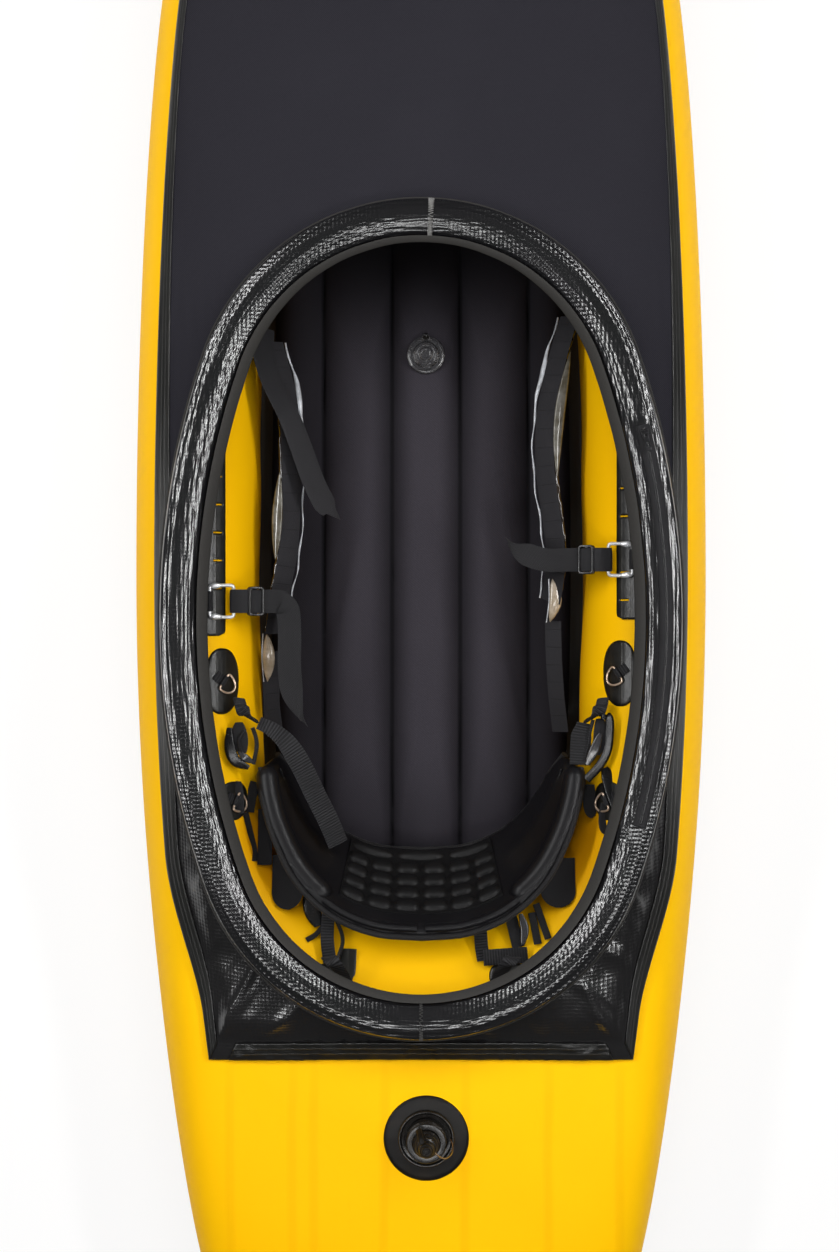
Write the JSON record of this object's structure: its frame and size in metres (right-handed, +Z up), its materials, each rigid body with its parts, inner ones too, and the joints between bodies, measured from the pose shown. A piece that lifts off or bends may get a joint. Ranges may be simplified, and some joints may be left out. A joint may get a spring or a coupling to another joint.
{
  "type": "packraft",
  "caption": "Decked inflatable boat with an oval cockpit, zipped coaming, inflatable floor, thigh straps, back band and two air valves.",
  "frame": {"origin": "on the ground under the middle of the boat", "axes": "+X to starboard, +Y towards the bow, +Z up"},
  "size_m": [0.907, 2.8, 0.3477],
  "materials": {
    "yellow_fabric": "smooth coated nylon, satin",
    "black_coated": "glossy coated fabric",
    "deck_cloth": "matt charcoal twill",
    "floor_cloth": "matt charcoal weave",
    "sleeve_cloth": "glossy ripstop",
    "edge_band": "matt woven band",
    "webbing": "woven black webbing",
    "padding": "black padded cloth",
    "foam": "moulded foam",
    "black_plastic": "moulded black plastic",
    "black_rubber": "soft black rubber",
    "black_metal": "black painted metal",
    "steel": "polished steel",
    "brass": "antique brass plating",
    "aluminium": "plain aluminium"
  },
  "bodies": {
    "root": {"hull_tube": "yellow_fabric", "bottom_skin": "black_coated", "inflatable_floor": "floor_cloth", "front_deck": "deck_cloth", "rear_deck": "black_coated", "deck_tape_port": "black_coated", "deck_tape_starboard": "black_coated", "rear_hem": "black_coated", "coaming_sleeve": "sleeve_cloth", "coaming_inner_band": "edge_band", "coaming_piping": "edge_band", "coaming_rod_front": "aluminium", "coaming_rod_rear": "aluminium", "rod_ferrule_port": "steel", "rod_ferrule_starboard": "steel", "zip_tape": "webbing", "stern_valve_patch": "black_coated", "stern_valve_base": "black_plastic", "stern_valve_tether": "black_rubber", "floor_valve_base": "black_plastic", "floor_valve_flap": "black_rubber", "floor_valve_tether": "black_rubber", "daisy_chain_port": "black_coated", "daisy_chain_starboard": "black_coated", "thigh_lower_webbing_port": "webbing", "thigh_lower_webbing_starboard": "webbing", "front_anchor_port_patch": "black_coated", "front_anchor_starboard_patch": "black_coated", "middle_anchor_port_patch": "black_coated", "middle_anchor_starboard_patch": "black_coated", "rear_anchor_port_patch": "black_coated", "rear_anchor_starboard_patch": "black_coated", "rear_strap_port": "webbing", "rear_strap_starboard": "webbing"},
    "slider": {"zip_slider": "black_metal"},
    "pull": {"zip_pull": "black_metal"},
    "valve_collar": {"stern_valve_collar": "black_plastic"},
    "valve_stem": {"stern_valve_stem": "black_plastic"},
    "valve_cap": {"stern_valve_cap": "black_rubber"},
    "floor_cap": {"floor_valve_cap": "black_plastic"},
    "ring_port": {"strap_ring_port": "steel"},
    "ring_starboard": {"strap_ring_starboard": "steel"},
    "strap_port": {"thigh_pad_port": "padding", "thigh_webbing_port": "webbing", "thigh_front_webbing_port": "webbing"},
    "strap_starboard": {"thigh_pad_starboard": "padding", "thigh_webbing_starboard": "webbing", "thigh_front_webbing_starboard": "webbing"},
    "adjuster_port": {"triglide_port": "black_plastic"},
    "adjuster_starboard": {"triglide_starboard": "black_plastic"},
    "front_ring_port": {"front_anchor_port_ring": "brass"},
    "front_ring_starboard": {"front_anchor_starboard_ring": "brass"},
    "middle_ring_port": {"middle_anchor_port_ring": "brass"},
    "middle_ring_starboard": {"middle_anchor_starboard_ring": "brass"},
    "band": {"back_band": "padding", "back_band_pad": "foam", "band_hook_port": "black_plastic", "band_hook_starboard": "black_plastic", "band_webbing_port": "webbing", "band_webbing_starboard": "webbing"}
  },
  "joints": [
    {"name": "zip_run", "type": "hinge", "parent": "root", "child": "slider", "pos_m": [-0.83102, -0.09, 0.343], "axis": [0, 0, 1], "range_deg": [-27.5, 0]},
    {"name": "zip_pull_swing", "type": "hinge", "parent": "slider", "child": "pull", "pos_m": [0.33374, 0.18604, 0.3468], "axis": [-0.973, -0.2306, 0], "range_deg": [0, 165]},
    {"name": "stern_valve_twist", "type": "hinge", "parent": "root", "child": "valve_collar", "pos_m": [0.008, -0.885, 0.265], "axis": [0, 0, 1], "range_deg": [0, 90]},
    {"name": "stern_valve_lift", "type": "slide", "parent": "root", "child": "valve_stem", "axis": [0, 0, 1], "range_m": [0, 0.006]},
    {"name": "stern_cap_pull", "type": "slide", "parent": "valve_stem", "child": "valve_cap", "axis": [0, 0, 1], "range_m": [0, 0.012]},
    {"name": "floor_cap_flip", "type": "hinge", "parent": "root", "child": "floor_cap", "pos_m": [0.008, 0.3637, 0.0719], "axis": [-1, 0, 0], "range_deg": [0, 115]},
    {"name": "ring_swing_port", "type": "hinge", "parent": "root", "child": "ring_port", "pos_m": [-0.324, -0.062, 0.25818], "axis": [0, -1, 0], "range_deg": [0, 20]},
    {"name": "ring_swing_starboard", "type": "hinge", "parent": "root", "child": "ring_starboard", "pos_m": [0.324, 0.002, 0.25796], "axis": [0, 1, 0], "range_deg": [0, 20]},
    {"name": "thigh_strap_swing_port", "type": "hinge", "parent": "ring_port", "child": "strap_port", "pos_m": [-0.288, -0.062, 0.25018], "axis": [0, -1, 0], "range_deg": [0, 30]},
    {"name": "thigh_strap_swing_starboard", "type": "hinge", "parent": "ring_starboard", "child": "strap_starboard", "pos_m": [0.288, 0.002, 0.24996], "axis": [0, 1, 0], "range_deg": [0, 30]},
    {"name": "adjuster_slide_port", "type": "slide", "parent": "strap_port", "child": "adjuster_port", "axis": [-0.9312, 0, 0.3644], "range_m": [-0.01, 0.003]},
    {"name": "adjuster_slide_starboard", "type": "slide", "parent": "strap_starboard", "child": "adjuster_starboard", "axis": [0.9312, 0, 0.3644], "range_m": [-0.01, 0.003]},
    {"name": "front_ring_swing_port", "type": "hinge", "parent": "root", "child": "front_ring_port", "pos_m": [-0.30289, -0.1849, 0.2477], "axis": [-0.492, -0.7874, 0.3715], "range_deg": [0, 60]},
    {"name": "front_ring_swing_starboard", "type": "hinge", "parent": "root", "child": "front_ring_starboard", "pos_m": [0.30284, -0.17293, 0.24745], "axis": [-0.4918, 0.787, -0.3724], "range_deg": [0, 60]},
    {"name": "middle_ring_swing_port", "type": "hinge", "parent": "root", "child": "middle_ring_port", "pos_m": [-0.28513, -0.36968, 0.23859], "axis": [-0.3185, -0.8752, 0.3641], "range_deg": [0, 60]},
    {"name": "middle_ring_swing_starboard", "type": "hinge", "parent": "root", "child": "middle_ring_starboard", "pos_m": [0.28513, -0.36967, 0.23852], "axis": [-0.3183, 0.8744, -0.3663], "range_deg": [0, 60]},
    {"name": "back_band_lift", "type": "hinge", "parent": "root", "child": "band", "pos_m": [0, -0.2, 0.245], "axis": [-1, 0, 0], "range_deg": [0, 50]}
  ],
  "couplings": [
    {"joint": "stern_valve_lift", "follows": "stern_valve_twist", "m_per_rad": 0.0038}
  ]
}
